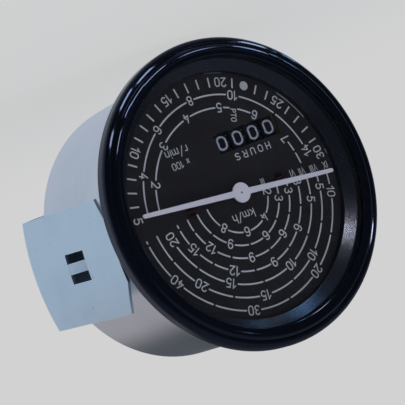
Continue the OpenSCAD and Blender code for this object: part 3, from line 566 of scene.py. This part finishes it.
speedScales = [  # gear, radius, km/h at 2200 r/min, figures, places of the small gaps
    ("IX", 57.4, 33.4, (10, 20, 30, 40), (15, 25, 35, 45)),
    ("VIII", 51.0, 17.95, (5, 10, 15, 20), (7.5, 12.5, 17.5, 22.5)),
    ("VII", 44.5, 15.15, (5, 10, 15, 20), (7.5, 12.5, 17.5)),
    ("VI", 38.1, 12.33, (3, 6, 9, 12, 15), (4.5, 7.5, 10.5, 13.5, 16.5)),
    ("V", 31.6, 10.54, (3, 6, 9, 12), (4.5, 7.5, 10.5, 13.5)),
    ("IV", 25.2, 8.9, (3, 6, 9), (4.5, 7.5, 10.5)),
    ("III", 18.8, 7.24, (2, 4, 6, 8), ()),
]
# Where each gear's number stands; the pointer hides those of the two gears that aren't here
gearPlaces = {
    "IX": (-58.1, 2.1),
    "VIII": (-50.4, 1.5),
    "VII": (-42.9, 0.8),
    "VI": (-37, 0),
    "III": (-18, -1.2),
}
gearHeight, gearWidth = 3.3, 0.42


def speedAngle(speed, atNominal):
    return rpmAngle(dial["nominal"] * speed / atNominal) + 180


speedStrokes = []
for gear, r, atNominal, marks, gaps in speedScales:
    labels = [(speedAngle(m, atNominal), str(m)) for m in marks]
    labels = [label for label in labels if label[0] <= dial["lastFigure"]]
    gapAngles = [speedAngle(g, atNominal) for g in gaps]
    gapAngles = [angle for angle in gapAngles if angle < dial["lastGap"]]
    start, end = dial["speedArc"]
    speedStrokes += arcWithFigures(r, start, end, labels, gapAngles, True)
    if gear in gearPlaces:
        speedStrokes += letterStrokes(gear, gearPlaces[gear], gearHeight, gearWidth)
printedMesh("speedScales", speedStrokes, onDial, "housing", scalePaint)

rpmStrokes = []
for n in range(5, 31):
    angle = rpmAngle(n)
    if n % 5 == 0:
        rpmStrokes += letterStrokes(str(n), polar(dial["tickRadius"], angle), dial["figureHeight"],
                                    dial["figureWidth"], figureTurn(angle, False), dial["figureSpacing"])
    elif n == dial["nominal"]:
        x, z = polar(dial["tickRadius"], angle)
        nominalDot = (x, z, dial["dotRadius"])
    else:
        inner, outer = (polar(dial["tickRadius"] + s * dial["tick"][0] / 2, angle) for s in (-1, 1))
        rpmStrokes.append(([inner, outer], False, dial["tick"][1]))
printedMesh("speedOfRotationScale", rpmStrokes, onDial, "housing", scalePaint, [nominalDot])

# The shaft at the back of the tractor has two scales, each with its own ratio
powerTakeOff = {
    "outer": (51.2, 2.1),        # radius, and engine speed for each unit of the shaft's
    "inner": (44.5, 3.9),
    "outerStart": 97.5,
    "innerStart": 98,
    "outerPast": 3,              # degrees past the last figure
    "innerEnd": 265.5,
    "innerGap": 28.9,
    "wordAt": (-16.8, -37.3),
    "wordHalfMm": 2.6,           # half the gap that the word stands in
    "wordHeight": 2.9,
    "wordWidth": 0.42,
    "wordTurn": 70,
}
# Hairlines at the dial's rim: radius, start and end
rimLines = [(61.9, rpmAngle(24.7), rpmAngle(27.3)), (62.4, 189, 198), (62, 265, 267)]
rimLineWidth = 0.28


def shaftFigures(ratio, *marks):
    return [(rpmAngle(m * ratio), str(m)) for m in marks]


r, ratio = powerTakeOff["outer"]
shaftStrokes = arcWithFigures(r, powerTakeOff["outerStart"], rpmAngle(14 * ratio) + powerTakeOff["outerPast"],
                              shaftFigures(ratio, 4, 6, 8, 10, 14), [rpmAngle(12 * ratio)], False)
r, ratio = powerTakeOff["inner"]
wordAngle = degrees(atan2(*powerTakeOff["wordAt"])) % 360
wordHalf = degrees(powerTakeOff["wordHalfMm"] / r)
shaftStrokes += arcWithFigures(r, powerTakeOff["innerStart"], wordAngle - wordHalf,
                               shaftFigures(ratio, 2, 3, 4, 5), [], False)
shaftStrokes += arcWithFigures(r, wordAngle + wordHalf, rpmAngle(6 * ratio), shaftFigures(ratio, 6),
                               [], False)
shaftStrokes += arcWithFigures(r, rpmAngle(7 * ratio), powerTakeOff["innerEnd"], shaftFigures(ratio, 7),
                               [rpmAngle(powerTakeOff["innerGap"])], False)
shaftStrokes += letterStrokes("PTO", powerTakeOff["wordAt"], powerTakeOff["wordHeight"],
                              powerTakeOff["wordWidth"], radians(powerTakeOff["wordTurn"]))
shaftStrokes += [(arcPoints(*line), False, rimLineWidth) for line in rimLines]
printedMesh("shaftScales", shaftStrokes, onDial, "housing", scalePaint)

dialWords = [  # word, middle, height, width of stroke, spacing and stretch of its letters
    ("km/h", (0, 11.2), 4.3, 0.45, 0.24, 1.2),
    ("x 100", (22.9, -23.2), 3.3, 0.42, 0.24, 1.0),
    ("r/min", (22.7, -29.3), 4.3, 0.45, 0.24, 1.15),
    ("HOURS", (-19.6, -17.3), 3.3, 0.5, 0.76, 1.3),
]
wordStrokes = []
for word, middle, height, width, spacing, stretch in dialWords:
    wordStrokes += letterStrokes(word, middle, height, width, spacing=spacing, stretch=stretch)
printedMesh("dialWords", wordStrokes, onDial, "housing", scalePaint)
print("dial printed")


# Figures on the counter's wheels

counter = {
    "bodies": ["thousands_group", "hundreds_group", "tens_group", "units_group"],
    "radius": 14.5,
    "axisY": 20.0,
    "axisZ": -26.2,
    "left": -34.85,    # middle of the first wheel's rim
    "pitch": 9.9,
    "height": 6.5,
    "stroke": 1.05,
    "stretch": 1.32,
    "stepMm": 1.2,     # long strokes follow the rim in steps of this
}


# Stroke in short steps, so that it follows the rim
def shortSteps(points, closed):
    loop = points + [points[0]] if closed else points
    fine = [loop[0]]
    for p in loop[1:]:
        q = fine[-1]
        steps = max(1, ceil(hypot(p[0] - q[0], p[1] - q[1]) / counter["stepMm"]))
        fine += [(q[0] + (p[0] - q[0]) * k / steps, q[1] + (p[1] - q[1]) * k / steps)
                 for k in range(1, steps + 1)]
    if closed:
        fine.pop()
    return fine


wheelStrokes = []
for digit in range(10):
    down = digit * 2 * pi * counter["radius"] / 10
    for points, closed, width in letterStrokes(str(digit), (0, 0), counter["height"], counter["stroke"],
                                               stretch=counter["stretch"]):
        fine = [(u, v - down) for u, v in shortSteps(points, closed)]
        wheelStrokes.append((fine, closed, width))

for index, body in enumerate(counter["bodies"]):
    centreX = counter["left"] + index * counter["pitch"]

    def onWheel(u, v, centreX=centreX):
        a = -v / counter["radius"]
        out = (0, -cos(a), -sin(a))
        return (centreX + u, counter["axisY"] + out[1] * counter["radius"],
                counter["axisZ"] + out[2] * counter["radius"]), out

    printedMesh("wheelFigures_%d" % (index + 1), wheelStrokes, onWheel, body, wheelPaint)
print("counter figures done")


# A new piece that stands for a CAD node
def standIn(name, mesh, node, body):
    piece = bpy.data.objects.new(name, mesh)
    bpy.context.scene.collection.objects.link(piece)
    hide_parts(node)
    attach(piece, body)
    return piece


# Mounting strap with its tongues pressed in on a slope, in place of the one with level tongues

strap = {
    "legX": 80,                 # outside of a leg, by its bend
    "curveRadius": 130,
    "leanFrom": (79.2, 4.5),    # the leg leans in between these depths
    "leanIn": 6.5,
    "skewDegrees": 4,
    "turnDegrees": 1,
    "sheet": 1.5,
    "tongueMiddle": 42,         # ahead of the strap's back
    "tongueLength": 16,
    "tongueWidth": 5.4,
    "levelDip": 1.0,            # how far the level tongue lies in
    "dips": (0.05, 3.8),        # the same for the sloping one, at its rear and front
    "curl": 1.3,                # above 1, it slopes more and more towards its front
    "overlap": 1.0,             # how far the tongue runs on under the leg at each end
    "near": 0.2,                # how close to the tongue's two sides a point has to lie
    "reach": 20,                # further in than this is the other leg
    "slices": 14,
    "sharpDegrees": 30,
    "joinMm": 0.001,
}


# Whether a point is on the level tongue: its places in the tongue's frame and in the leg sheet's
def isOnTongue(place, onSheet, along):
    high, low = strap["leanFrom"]
    lean = strap["leanIn"] * (high - onSheet.y) / (high - low)
    deep = strap["curveRadius"] - lean - hypot(onSheet.x + strap["curveRadius"], onSheet.z)
    offOutside = abs(deep - strap["levelDip"])
    offInside = abs(deep - strap["levelDip"] - strap["sheet"])
    slack = 0.05
    past = (strap["overlap"] + slack) / strap["tongueLength"]
    return (min(offOutside, offInside) < strap["near"] and place.x > -strap["reach"]
            and abs(place.z) < strap["tongueWidth"] / 2 + slack and -past < along < 1 + past)


def slopingTongues(name, node, body):
    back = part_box("case_shell")[1][1] / mm + strap["sheet"]
    mesh = nodes[node].data.copy()
    if "custom_normal" in mesh.attributes:  # the slopes get their own shading
        mesh.attributes.remove(mesh.attributes["custom_normal"])
    shape = bmesh.new()
    shape.from_mesh(mesh)
    bmesh.ops.scale(shape, vec=(1 / mm, 1 / mm, 1 / mm), verts=shape.verts)
    bmesh.ops.remove_doubles(shape, verts=shape.verts, dist=strap["joinMm"])
    skew, turn = radians(strap["skewDegrees"]), radians(strap["turnDegrees"])
    front = -strap["tongueMiddle"] - strap["tongueLength"] / 2
    for side in (0, pi):
        leg = Matrix.Rotation(-turn, 4, "Y") @ Matrix.Rotation(side, 4, "Y")
        tongue = leg @ Matrix.Translation((strap["legX"], back, 0)) @ Matrix.Rotation(-skew, 4, "X")
        sheet = leg @ Matrix.Translation((strap["legX"], 0, 0)) @ Matrix.Rotation(skew, 4, "Y")
        toTongue, toSheet = tongue.inverted(), sheet.inverted()
        outwards = tongue.to_3x3() @ Vector((1, 0, 0))
        lengthwise = tongue.to_3x3() @ Vector((0, 1, 0))
        for i in range(1, strap["slices"]):
            cut = tongue @ Vector((0, front + strap["tongueLength"] * i / strap["slices"], 0))
            whole = shape.verts[:] + shape.edges[:] + shape.faces[:]
            bmesh.ops.bisect_plane(shape, geom=whole, plane_co=cut, plane_no=lengthwise)
        for vert in shape.verts:
            place, onSheet = toTongue @ vert.co, toSheet @ vert.co
            along = (place.y - front) / strap["tongueLength"]
            if isOnTongue(place, onSheet, along):
                slope = min(1, max(0, 1 - along)) ** strap["curl"]
                rear, tip = strap["dips"]
                vert.co += outwards * (strap["levelDip"] - rear - (tip - rear) * slope)
    bmesh.ops.triangulate(shape, faces=shape.faces)
    bmesh.ops.dissolve_degenerate(shape, dist=strap["joinMm"], edges=shape.edges)
    bmesh.ops.scale(shape, vec=(mm, mm, mm), verts=shape.verts)
    shape.to_mesh(mesh)
    shape.free()
    mesh.shade_smooth()
    mesh.set_sharp_from_angle(angle=radians(strap["sharpDegrees"]))
    return standIn(name, mesh, node, body)


slopingTongues("strapWithTongues", "mounting_strap", "housing")
print("tongues pressed in the strap")


# Cable nipple with its thread cut, in place of the plain one

nipple = {
    "pitch": 1.5,
    "threadDepth": 0.92,
    "threadRadius": 9.0,
    "outline": [(13, 0), (13, 3), (10, 3), (10, 11.5), (9, 11.5)],  # radius and distance from the front
    "bore": 5.3,
    "cableBore": (6.5, 18.0),   # radius and depth from the rear
    "chamfer": 1.0,
    "around": 72,
    "rowsPerTurn": 8,
}


def threadedNipple(name, node, body, slotName):
    low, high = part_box(node)
    front, length = low[1] / mm, (high[1] - low[1]) / mm
    start = nipple["outline"][-1][1]
    end = length - nipple["chamfer"]
    count = int((end - start) / nipple["pitch"] * nipple["rowsPerTurn"])
    rows = [(r, y, False) for r, y in nipple["outline"]]
    rows += [(nipple["threadRadius"], start + (end - start) * i / count, True) for i in range(1, count)]
    rows.append((nipple["threadRadius"], end, False))
    rows.append((nipple["threadRadius"] - nipple["chamfer"], length, False))
    cable, deep = nipple["cableBore"]
    rows += [(cable, length, False), (cable, length - deep, False), (nipple["bore"], length - deep, False),
             (nipple["bore"], 0, False)]
    around = nipple["around"]
    verts, faces = [], []
    for r, y, cut in rows:
        for i in range(around):
            phase = (y / nipple["pitch"] - i / around) % 1
            fade = min(1, (y - start) / nipple["pitch"], (end - y) / nipple["pitch"]) if cut else 0
            radius = r - nipple["threadDepth"] * fade * abs(2 * phase - 1)
            a = 2 * pi * i / around
            verts.append((radius * cos(a) * mm, (front + y) * mm, radius * sin(a) * mm))
    for j in range(len(rows)):
        k = (j + 1) % len(rows)
        for i in range(around):
            n = (i + 1) % around
            faces.append([j * around + i, k * around + i, k * around + n, j * around + n])
    mesh = bpy.data.meshes.new(name)
    mesh.from_pydata(verts, [], faces)
    mesh.update()
    mesh.materials.append(materials[slotName])
    return standIn(name, mesh, node, body)


threadedNipple("cableNippleThreaded", "drive_nipple", "housing", slotOf["drive_nipple"])
print("thread cut on the nipple")


# Floor, background and lamps: a pale backdrop behind the object and a dark room behind the camera,
# so the black enamel and the glass stay dark while the plated sides stay pale

studio = {
    "background": "#d2d2d2",
    "mirrored": "#c1c9d5",        # the same backdrop as the plated sides mirror it
    "room": "#373b45",            # what the front of the object mirrors
    "ceiling": "#80858f",         # the same, higher up
    "sideWall": "#7c828c",        # what its sides mirror
    "overhead": "#aea8ab",        # what its upper side mirrors
    "dusk": "#4a4d52",            # the unlit corner above and to the left, behind the object
    "duskWay": (-0.8, 0.0, 1.0),
    "overheadFrom": (0.1, 0.4),   # how high the backdrop turns to what is overhead
    "ceilingFrom": (0.3, 0.7),
    "duskFrom": (0.4, 0.64),
    "sideFrom": (-0.35, 0.2),     # how far back the front of the room turns to its sides
    "backFrom": (0.35, 0.7),      # and its sides to the backdrop
    "floorFrom": (-0.02, 0.01),   # the same on the floor, in metres
    "shadow": (0.12, 0.7),        # the floor's shadow fades out between these distances
    "shadowGlow": 0.86,           # share of the floor that is evenly bright, right at the object
    "ambient": "#bcc3cf",
    "floorZ": -0.0805,
    "floorHalf": 6.0,
    "cardLift": 0.001,            # the cards lie this far above the floor
}


# Smooth step from 0 to 1 of a vector's length along a way
def stepAlong(tree, vector, way, ends):
    along = addNode(tree, "ShaderNodeVectorMath", {0: vector, 1: way}, operation="DOT_PRODUCT")
    return addNode(tree, "ShaderNodeMapRange", {"Value": along.outputs["Value"], "From Min": ends[0],
                   "From Max": ends[1]}, interpolation_type="SMOOTHSTEP").outputs["Result"]


floorMesh = bpy.data.meshes.new("floor")
half = studio["floorHalf"]
corners = [(x * half, y * half, studio["floorZ"]) for x, y in ((-1, -1), (1, -1), (1, 1), (-1, 1))]
floorMesh.from_pydata(corners, [], [(0, 1, 2, 3)])
floor = bpy.data.objects.new("floor", floorMesh)
bpy.context.scene.collection.objects.link(floor)
floorPaint, tree = newMaterial("paleFloorPaint")
path = addNode(tree, "ShaderNodeLightPath")
place = addNode(tree, "ShaderNodeTexCoord").outputs["Object"]
seen = addNode(tree, "ShaderNodeMath", {0: path.outputs["Is Camera Ray"],
               1: path.outputs["Is Transmission Ray"]}, operation="MAXIMUM")
away = addNode(tree, "ShaderNodeVectorMath", {0: place}, operation="LENGTH")
plain = addNode(tree, "ShaderNodeMapRange", {"Value": away.outputs["Value"],
                "From Min": studio["shadow"][0], "From Max": studio["shadow"][1],
                "To Min": studio["shadowGlow"], "To Max": 1.0}, interpolation_type="SMOOTHSTEP")
share = addNode(tree, "ShaderNodeMath", {0: seen.outputs[0], 1: plain.outputs["Result"]},
                operation="MULTIPLY")
glow = addNode(tree, "ShaderNodeEmission", {"Color": linear(studio["background"]), "Strength": 1.0})
paint = addNode(tree, "ShaderNodeBsdfDiffuse", {"Color": linear(studio["background"])})
direct = addNode(tree, "ShaderNodeMixShader", {0: share.outputs[0], 1: paint.outputs[0],
                 2: glow.outputs[0]})
mirrored = addNode(tree, "ShaderNodeMixRGB", {"Fac": stepAlong(tree, place, (0, 1, 0), studio["floorFrom"]),
                   "Color1": linear(studio["room"]), "Color2": linear(studio["mirrored"])})
mirrorGlow = addNode(tree, "ShaderNodeEmission", {"Color": mirrored.outputs["Color"], "Strength": 1.0})
both = addNode(tree, "ShaderNodeMixShader", {0: path.outputs["Is Glossy Ray"], 1: direct.outputs[0],
               2: mirrorGlow.outputs[0]})
addNode(tree, "ShaderNodeOutputMaterial", {"Surface": both.outputs[0]})
floorMesh.materials.append(floorPaint)

world = bpy.data.worlds.new("studioAir")
bpy.context.scene.world = world
world.use_nodes = True
tree = world.node_tree
tree.nodes.clear()
path = addNode(tree, "ShaderNodeLightPath")
way = addNode(tree, "ShaderNodeTexCoord").outputs["Generated"]
seen = addNode(tree, "ShaderNodeMath", {0: path.outputs["Is Camera Ray"],
               1: path.outputs["Is Transmission Ray"]}, operation="MAXIMUM")
lower = addNode(tree, "ShaderNodeMixRGB", {"Fac": stepAlong(tree, way, (0, 0, 1), studio["overheadFrom"]),
                "Color1": linear(studio["mirrored"]), "Color2": linear(studio["overhead"])})
dimmed = stepAlong(tree, way, studio["duskWay"], studio["duskFrom"])
backdrop = addNode(tree, "ShaderNodeMixRGB", {"Fac": dimmed,
                   "Color1": lower.outputs["Color"], "Color2": linear(studio["dusk"])})
ahead = addNode(tree, "ShaderNodeMixRGB", {"Fac": stepAlong(tree, way, (0, 0, 1), studio["ceilingFrom"]),
                "Color1": linear(studio["room"]), "Color2": linear(studio["ceiling"])})
front = addNode(tree, "ShaderNodeMixRGB", {"Fac": stepAlong(tree, way, (0, 1, 0), studio["sideFrom"]),
                "Color1": ahead.outputs["Color"], "Color2": linear(studio["sideWall"])})
mirrored = addNode(tree, "ShaderNodeMixRGB", {"Fac": stepAlong(tree, way, (0, 1, 0), studio["backFrom"]),
                   "Color1": front.outputs["Color"], "Color2": backdrop.outputs["Color"]})
shown = addNode(tree, "ShaderNodeBackground", {"Color": linear(studio["background"]), "Strength": 1.0})
gloss = addNode(tree, "ShaderNodeBackground", {"Color": mirrored.outputs["Color"], "Strength": 1.0})
lit = addNode(tree, "ShaderNodeBackground", {"Color": linear(studio["ambient"]), "Strength": 1.0})
indirect = addNode(tree, "ShaderNodeMixShader", {0: path.outputs["Is Glossy Ray"], 1: lit.outputs[0],
                   2: gloss.outputs[0]})
both = addNode(tree, "ShaderNodeMixShader", {0: seen.outputs[0], 1: indirect.outputs[0],
               2: shown.outputs[0]})
addNode(tree, "ShaderNodeOutputWorld", {"Surface": both.outputs[0]})

softLamps = [  # name, place, aimed at, size, power in watts, colour
    ("keyLamp", (0.7, -1.3, 0.7), (0, 0, 0), 1.5, 8.5, (1.0, 0.98, 0.97)),
    ("fillLamp", (-1.3, -0.5, 0.9), (0, 0, 0), 1.2, 3, (0.85, 0.92, 1.0)),
]
# Low cards that lie on the floor in front: the glossy rings mirror them as streaks and glints, and
# they light nothing else
cards = [  # name, place, length and width, turn in degrees, brightness, colour
    ("whiteCard", (0.008, -0.130), (0.022, 0.022), 0, 38, (1.0, 0.97, 0.94)),
    ("blueCard", (-0.084, -0.058), (0.03, 0.03), 0, 7, (0.3, 0.62, 1.0)),
    ("longCard", (-0.035, -0.030), (0.18, 0.012), 0, 13, (0.78, 0.88, 1.0)),
    ("sideCard", (0.065, -0.080), (0.016, 0.050), 0, 12, (1.0, 1.0, 1.0)),
    ("farBlueCard", (-0.145, -0.032), (0.140, 0.010), 23, 5, (0.3, 0.62, 1.0)),
]


def areaLamp(name, place, turn, size, power, colour):
    data = bpy.data.lights.new(name, "AREA")
    data.shape = "RECTANGLE"
    data.size, data.size_y = size
    data.energy = power
    data.color = colour
    lamp = bpy.data.objects.new(name, data)
    lamp.location = place
    lamp.rotation_euler = turn
    lamp.visible_camera = False
    bpy.context.scene.collection.objects.link(lamp)
    return lamp


for name, place, aim, size, power, colour in softLamps:
    turn = (Vector(aim) - Vector(place)).to_track_quat("-Z", "Y").to_euler()
    lamp = areaLamp(name, place, turn, (size, size), power, colour)
    lamp.visible_glossy = False  # too large and near for the enamel to mirror
glossyRings = bpy.data.collections.new("glossyRings")
for ringName in ("bezel_ring", "dial_shroud"):
    glossyRings.objects.link(nodes[ringName])
for name, (x, y), size, turn, brightness, colour in cards:
    power = pi * size[0] * size[1] * brightness
    place = (x, y, studio["floorZ"] + studio["cardLift"])
    lamp = areaLamp(name, place, (pi, 0, radians(turn)), size, power, colour)
    lamp.visible_diffuse = False
    lamp.light_linking.receiver_collection = glossyRings
print("studio lit")
